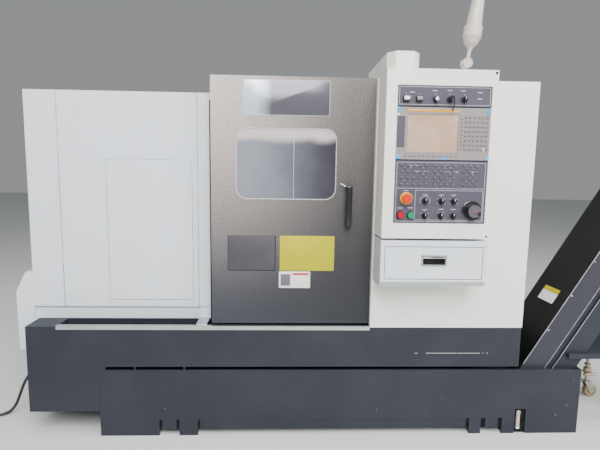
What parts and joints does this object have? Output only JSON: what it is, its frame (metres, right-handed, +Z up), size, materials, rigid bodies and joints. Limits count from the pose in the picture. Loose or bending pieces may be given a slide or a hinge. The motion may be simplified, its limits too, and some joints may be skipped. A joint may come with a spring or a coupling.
{
  "type": "cnc turning lathe",
  "caption": "Slant-bed turning lathe with sliding front door, operator panel, drawer, coolant tank and chip conveyor.",
  "frame": {"origin": "on the floor under the middle skid of the coolant tank", "axes": "+X along the spindle towards the tailstock and the conveyor, +Y from the front to the back, +Z up"},
  "size_m": [3.8926, 1.5948, 1.9728],
  "materials": {
    "white_paint": "satin",
    "dark_paint": "satin",
    "door_paint": "satin",
    "conveyor_paint": "satin",
    "plate_paint": "matte",
    "cast_iron": "matte",
    "steel": "brushed",
    "stainless": "brushed",
    "bezel_grey": "matte",
    "screen_film": "gloss",
    "window_glass": "gloss",
    "black_plastic": "matte",
    "pale_plastic": "gloss",
    "red_plastic": "gloss",
    "green_plastic": "gloss",
    "urethane": "matte",
    "cable_jacket": "matte"
  },
  "bodies": {
    "machine": {"base": "dark_paint", "coolant_tank": "dark_paint", "slant_bed": "cast_iron", "headstock": "cast_iron", "left_cover": "white_paint", "access_panel": "white_paint", "left_end_cover": "white_paint", "right_cover": "white_paint", "roof_panel": "white_paint", "rear_cabinet": "white_paint", "wiring_duct": "white_paint", "door_rail": "steel", "door_sill": "stainless", "panel_housing": "white_paint", "switch_plate": "plate_paint", "key_panel": "plate_paint", "display_unit": "bezel_grey", "display_screen": "screen_film", "drawer_unit": "white_paint", "conveyor_body": "dark_paint", "conveyor_cover": "conveyor_paint", "supply_cable": "cable_jacket", "supply_cable_coil": "cable_jacket", "supply_plug": "black_plastic"},
    "sliding_door": {"door": "door_paint", "door_window": "window_glass", "door_handle": "black_plastic"},
    "tool_drawer": {"drawer": "white_paint", "drawer_pull": "stainless"},
    "main_spindle": {"spindle": "steel", "chuck": "steel"},
    "jaw_one": {"chuck_jaw_1": "steel"},
    "jaw_two": {"chuck_jaw_2": "steel"},
    "jaw_three": {"chuck_jaw_3": "steel"},
    "saddle": {"carriage": "cast_iron"},
    "cross": {"cross_slide": "cast_iron"},
    "turret": {"turret_disc": "steel"},
    "tail": {"tailstock": "cast_iron"},
    "quill": {"tailstock_quill": "steel"},
    "flap": {"card_flap": "plate_paint"},
    "push_one": {"push_button_1": "pale_plastic"},
    "push_two": {"push_button_2": "pale_plastic"},
    "top_sel_one": {"top_selector_1": "black_plastic"},
    "top_sel_two": {"top_selector_2": "black_plastic"},
    "top_sel_three": {"top_selector_3": "black_plastic"},
    "sel_one": {"selector_1": "black_plastic"},
    "sel_two": {"selector_2": "black_plastic"},
    "sel_three": {"selector_3": "black_plastic"},
    "sel_four": {"selector_4": "black_plastic"},
    "sel_five": {"selector_5": "black_plastic"},
    "sel_six": {"selector_6": "black_plastic"},
    "stop": {"stop_button": "red_plastic"},
    "start": {"start_button": "green_plastic"},
    "emergency": {"emergency_button": "red_plastic"},
    "hand_wheel": {"handwheel": "black_plastic"},
    "lamp": {"signal_lamp": "pale_plastic"},
    "fork_front": {"caster_fork_front": "steel"},
    "fork_rear": {"caster_fork_rear": "steel"},
    "wheel_front": {"caster_wheel_front": "urethane"},
    "wheel_rear": {"caster_wheel_rear": "urethane"}
  },
  "joints": [
    {"name": "door_slide", "type": "slide", "parent": "machine", "child": "sliding_door", "axis": [-1, 0, 0], "range_m": [0, 0.68]},
    {"name": "drawer_slide", "type": "slide", "parent": "machine", "child": "tool_drawer", "axis": [0, -1, 0], "range_m": [0, 0.12]},
    {"name": "spindle_spin", "type": "hinge", "parent": "machine", "child": "main_spindle", "pos_m": [-0.621, 0.14, 1.05], "axis": [1, 0, 0], "continuous": true},
    {"name": "jaw_1_slide", "type": "slide", "parent": "main_spindle", "child": "jaw_one", "axis": [0, 0, 1], "range_m": [0, 0.004]},
    {"name": "jaw_2_slide", "type": "slide", "parent": "main_spindle", "child": "jaw_two", "axis": [0, -0.866, -0.5], "range_m": [0, 0.004]},
    {"name": "jaw_3_slide", "type": "slide", "parent": "main_spindle", "child": "jaw_three", "axis": [0, 0.866, -0.5], "range_m": [0, 0.004]},
    {"name": "carriage_slide", "type": "slide", "parent": "machine", "child": "saddle", "axis": [1, 0, 0], "range_m": [-0.3, 0.08]},
    {"name": "cross_travel", "type": "slide", "parent": "saddle", "child": "cross", "axis": [0, -0.7071, -0.7071], "range_m": [0, 0.12]},
    {"name": "turret_index", "type": "hinge", "parent": "cross", "child": "turret", "pos_m": [-0.027, 0.4087, 1.3187], "axis": [1, 0, 0], "continuous": true},
    {"name": "tailstock_slide", "type": "slide", "parent": "machine", "child": "tail", "axis": [-1, 0, 0], "range_m": [0, 0.08]},
    {"name": "quill_slide", "type": "slide", "parent": "tail", "child": "quill", "axis": [-1, 0, 0], "range_m": [0, 0.08]},
    {"name": "flap_hinge", "type": "hinge", "parent": "machine", "child": "flap", "pos_m": [0.1615, -0.4642, 1.338], "axis": [0, 0, -1], "range_deg": [0, 110]},
    {"name": "push_1_press", "type": "slide", "parent": "machine", "child": "push_one", "axis": [0, 1, 0], "range_m": [0, 0.003], "stiffness_N_per_m": 300},
    {"name": "push_2_press", "type": "slide", "parent": "machine", "child": "push_two", "axis": [0, 1, 0], "range_m": [0, 0.003], "stiffness_N_per_m": 300},
    {"name": "top_selector_1_turn", "type": "hinge", "parent": "machine", "child": "top_sel_one", "pos_m": [0.3135, -0.4625, 1.53], "axis": [0, 1, 0], "range_deg": [-45, 45]},
    {"name": "top_selector_2_turn", "type": "hinge", "parent": "machine", "child": "top_sel_two", "pos_m": [0.371, -0.4625, 1.53], "axis": [0, 1, 0], "range_deg": [-45, 45]},
    {"name": "top_selector_3_turn", "type": "hinge", "parent": "machine", "child": "top_sel_three", "pos_m": [0.43, -0.4625, 1.53], "axis": [0, 1, 0], "range_deg": [-45, 45]},
    {"name": "selector_1_turn", "type": "hinge", "parent": "machine", "child": "sel_one", "pos_m": [0.289, -0.4625, 1.12], "axis": [0, 1, 0], "range_deg": [-120, 120]},
    {"name": "selector_2_turn", "type": "hinge", "parent": "machine", "child": "sel_two", "pos_m": [0.357, -0.4625, 1.12], "axis": [0, 1, 0], "range_deg": [-120, 120]},
    {"name": "selector_3_turn", "type": "hinge", "parent": "machine", "child": "sel_three", "pos_m": [0.4085, -0.4625, 1.12], "axis": [0, 1, 0], "range_deg": [-120, 120]},
    {"name": "selector_4_turn", "type": "hinge", "parent": "machine", "child": "sel_four", "pos_m": [0.289, -0.4625, 1.059], "axis": [0, 1, 0], "range_deg": [-120, 120]},
    {"name": "selector_5_turn", "type": "hinge", "parent": "machine", "child": "sel_five", "pos_m": [0.357, -0.4625, 1.059], "axis": [0, 1, 0], "range_deg": [-120, 120]},
    {"name": "selector_6_turn", "type": "hinge", "parent": "machine", "child": "sel_six", "pos_m": [0.4085, -0.4625, 1.059], "axis": [0, 1, 0], "range_deg": [-120, 120]},
    {"name": "stop_press", "type": "slide", "parent": "machine", "child": "stop", "axis": [0, 1, 0], "range_m": [0, 0.003], "stiffness_N_per_m": 300},
    {"name": "start_press", "type": "slide", "parent": "machine", "child": "start", "axis": [0, 1, 0], "range_m": [0, 0.003], "stiffness_N_per_m": 300},
    {"name": "emergency_press", "type": "slide", "parent": "machine", "child": "emergency", "axis": [0, 1, 0], "range_m": [0, 0.005], "stiffness_N_per_m": 400},
    {"name": "handwheel_turn", "type": "hinge", "parent": "machine", "child": "hand_wheel", "pos_m": [0.4854, -0.4625, 1.0816], "axis": [0, 1, 0], "continuous": true},
    {"name": "lamp_fold", "type": "hinge", "parent": "machine", "child": "lamp", "pos_m": [0.47, -0.3603, 1.696], "axis": [0, 1, 0], "range_deg": [-7, 83]},
    {"name": "swivel_front", "type": "hinge", "parent": "machine", "child": "fork_front", "pos_m": [1.418, -0.26, 0.367], "axis": [0, 0, 1], "continuous": true},
    {"name": "swivel_rear", "type": "hinge", "parent": "machine", "child": "fork_rear", "pos_m": [1.418, 0.05, 0.367], "axis": [0, 0, 1], "continuous": true},
    {"name": "roll_front", "type": "hinge", "parent": "fork_front", "child": "wheel_front", "pos_m": [1.44, -0.26, 0.035], "axis": [0, 1, 0], "continuous": true},
    {"name": "roll_rear", "type": "hinge", "parent": "fork_rear", "child": "wheel_rear", "pos_m": [1.44, 0.05, 0.035], "axis": [0, 1, 0], "continuous": true}
  ],
  "couplings": [
    {"joint": "jaw_2_slide", "follows": "jaw_1_slide", "ratio": 1},
    {"joint": "jaw_3_slide", "follows": "jaw_1_slide", "ratio": 1}
  ]
}
